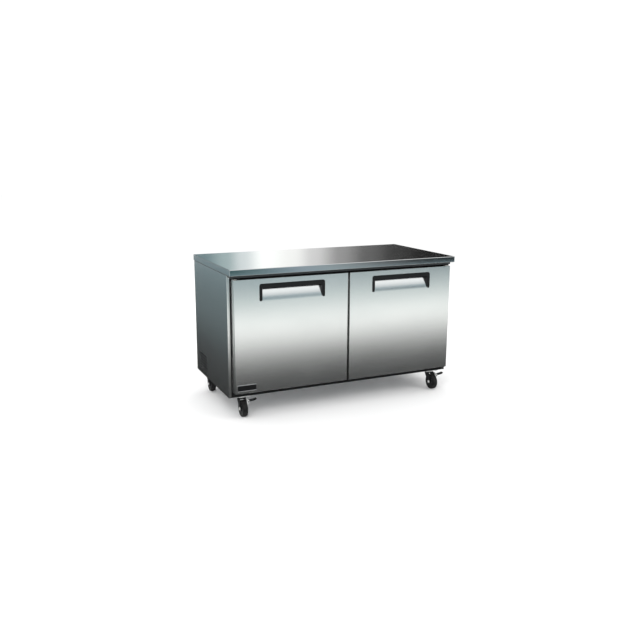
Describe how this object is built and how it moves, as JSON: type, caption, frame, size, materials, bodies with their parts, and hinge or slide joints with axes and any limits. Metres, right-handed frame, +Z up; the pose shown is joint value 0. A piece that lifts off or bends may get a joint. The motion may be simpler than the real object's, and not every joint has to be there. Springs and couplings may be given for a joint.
{
  "type": "undercounter refrigerator",
  "caption": "Low stainless worktop refrigerator with side-by-side hinged doors, recessed black-trimmed handles, side louvres and swivel casters with brake pedals.",
  "frame": {"origin": "on the floor, below the middle of the worktop", "axes": "+X to the right as seen from the doors, +Y to the back, +Z up"},
  "size_m": [1.53, 0.762, 0.905],
  "materials": {
    "stainless": "brushed",
    "dark_steel": "satin",
    "galvanised": "spangled",
    "foam": "matte",
    "liner": "satin",
    "black_plastic": "satin",
    "grey_gasket": "matte",
    "shelf_coat": "satin",
    "zinc": "satin",
    "black_steel": "satin",
    "wheel_rubber": "matte",
    "white_plastic": "satin",
    "aluminium_fins": "satin",
    "copper": "satin",
    "compressor_paint": "satin",
    "motor_metal": "satin",
    "bush_nylon": "matte",
    "rocker": "gloss",
    "badge": "gloss"
  },
  "bodies": {
    "cabinet": {"worktop": "stainless", "header_rail": "dark_steel", "left_side_panel": "stainless", "right_side_panel": "stainless", "back_panel": "galvanised", "rear_grille": "galvanised", "base_pan": "galvanised", "base_rail": "dark_steel", "insulation_slabs": "foam", "inner_liner": "liner", "breaker_strips": "black_plastic", "mullion": "liner", "shelf_standards": "zinc", "shelf_clips": "zinc", "left_shelf": "shelf_coat", "right_shelf": "shelf_coat", "hinge_brackets": "zinc", "caster_plates": "zinc", "caster_bolts": "zinc", "evaporator_coil": "aluminium_fins", "evaporator_housing": "white_plastic", "evaporator_fan_motor": "motor_metal", "thermostat": "black_plastic", "compressor": "compressor_paint", "condenser_coil": "aluminium_fins", "condenser_fan_motor": "motor_metal", "refrigerant_lines": "copper", "drain_pan": "galvanised", "power_inlet": "black_plastic"},
    "left_door": {"left_door_skin": "stainless", "left_door_core": "foam", "left_door_liner": "liner", "left_door_gasket": "grey_gasket", "left_handle_trim": "black_plastic", "left_door_bushes": "bush_nylon", "badge": "badge"},
    "right_door": {"right_door_skin": "stainless", "right_door_core": "foam", "right_door_liner": "liner", "right_door_gasket": "grey_gasket", "right_handle_trim": "black_plastic", "right_door_bushes": "bush_nylon"},
    "front_left_swivel": {"front_left_fork": "black_steel", "front_left_axle": "zinc"},
    "front_left_roller": {"front_left_wheel": "wheel_rubber"},
    "front_left_brake": {"front_left_pedal": "black_plastic"},
    "front_right_swivel": {"front_right_fork": "black_steel", "front_right_axle": "zinc"},
    "front_right_roller": {"front_right_wheel": "wheel_rubber"},
    "front_right_brake": {"front_right_pedal": "black_plastic"},
    "rear_left_swivel": {"rear_left_fork": "black_steel", "rear_left_axle": "zinc"},
    "rear_left_roller": {"rear_left_wheel": "wheel_rubber"},
    "rear_right_swivel": {"rear_right_fork": "black_steel", "rear_right_axle": "zinc"},
    "rear_right_roller": {"rear_right_wheel": "wheel_rubber"},
    "evaporator_fan": {"evaporator_fan_blade": "black_plastic"},
    "condenser_fan": {"condenser_fan_blade": "black_plastic"},
    "thermostat_knob": {"temperature_knob": "white_plastic"},
    "rocker": {"power_switch": "rocker"}
  },
  "joints": [
    {"name": "left_door_hinge", "type": "hinge", "parent": "cabinet", "child": "left_door", "pos_m": [-0.723, -0.343, 0.5], "axis": [0, 0, -1], "range_deg": [0, 110]},
    {"name": "right_door_hinge", "type": "hinge", "parent": "cabinet", "child": "right_door", "pos_m": [0.723, -0.343, 0.5], "axis": [0, 0, 1], "range_deg": [0, 110]},
    {"name": "front_left_swivel", "type": "hinge", "parent": "cabinet", "child": "front_left_swivel", "pos_m": [-0.672, -0.273, 0.11], "axis": [0, 0, 1], "continuous": true},
    {"name": "front_left_roll", "type": "hinge", "parent": "front_left_swivel", "child": "front_left_roller", "pos_m": [-0.672, -0.305, 0.05], "axis": [1, 0, 0], "continuous": true},
    {"name": "front_left_brake", "type": "hinge", "parent": "front_left_swivel", "child": "front_left_brake", "pos_m": [-0.641, -0.305, 0.092], "axis": [0, 1, 0], "range_deg": [0, 12]},
    {"name": "front_right_swivel", "type": "hinge", "parent": "cabinet", "child": "front_right_swivel", "pos_m": [0.672, -0.273, 0.11], "axis": [0, 0, 1], "continuous": true},
    {"name": "front_right_roll", "type": "hinge", "parent": "front_right_swivel", "child": "front_right_roller", "pos_m": [0.672, -0.305, 0.05], "axis": [1, 0, 0], "continuous": true},
    {"name": "front_right_brake", "type": "hinge", "parent": "front_right_swivel", "child": "front_right_brake", "pos_m": [0.703, -0.305, 0.092], "axis": [0, 1, 0], "range_deg": [0, 12]},
    {"name": "rear_left_swivel", "type": "hinge", "parent": "cabinet", "child": "rear_left_swivel", "pos_m": [-0.702, 0.28, 0.11], "axis": [0, 0, 1], "continuous": true},
    {"name": "rear_left_roll", "type": "hinge", "parent": "rear_left_swivel", "child": "rear_left_roller", "pos_m": [-0.702, 0.248, 0.05], "axis": [1, 0, 0], "continuous": true},
    {"name": "rear_right_swivel", "type": "hinge", "parent": "cabinet", "child": "rear_right_swivel", "pos_m": [0.702, 0.28, 0.11], "axis": [0, 0, 1], "continuous": true},
    {"name": "rear_right_roll", "type": "hinge", "parent": "rear_right_swivel", "child": "rear_right_roller", "pos_m": [0.702, 0.248, 0.05], "axis": [1, 0, 0], "continuous": true},
    {"name": "evaporator_fan_spin", "type": "hinge", "parent": "cabinet", "child": "evaporator_fan", "pos_m": [0, 0.214, 0.7], "axis": [0, 1, 0], "continuous": true},
    {"name": "condenser_fan_spin", "type": "hinge", "parent": "cabinet", "child": "condenser_fan", "pos_m": [-0.676, 0.25, 0.214], "axis": [1, 0, 0], "continuous": true},
    {"name": "temperature_knob_turn", "type": "hinge", "parent": "cabinet", "child": "thermostat_knob", "pos_m": [0.2, 0.19, 0.64], "axis": [0, 1, 0], "range_deg": [0, 270]},
    {"name": "power_switch_rock", "type": "hinge", "parent": "cabinet", "child": "rocker", "pos_m": [0.56, 0.371, 0.25], "axis": [1, 0, 0], "range_deg": [-12, 0]}
  ]
}
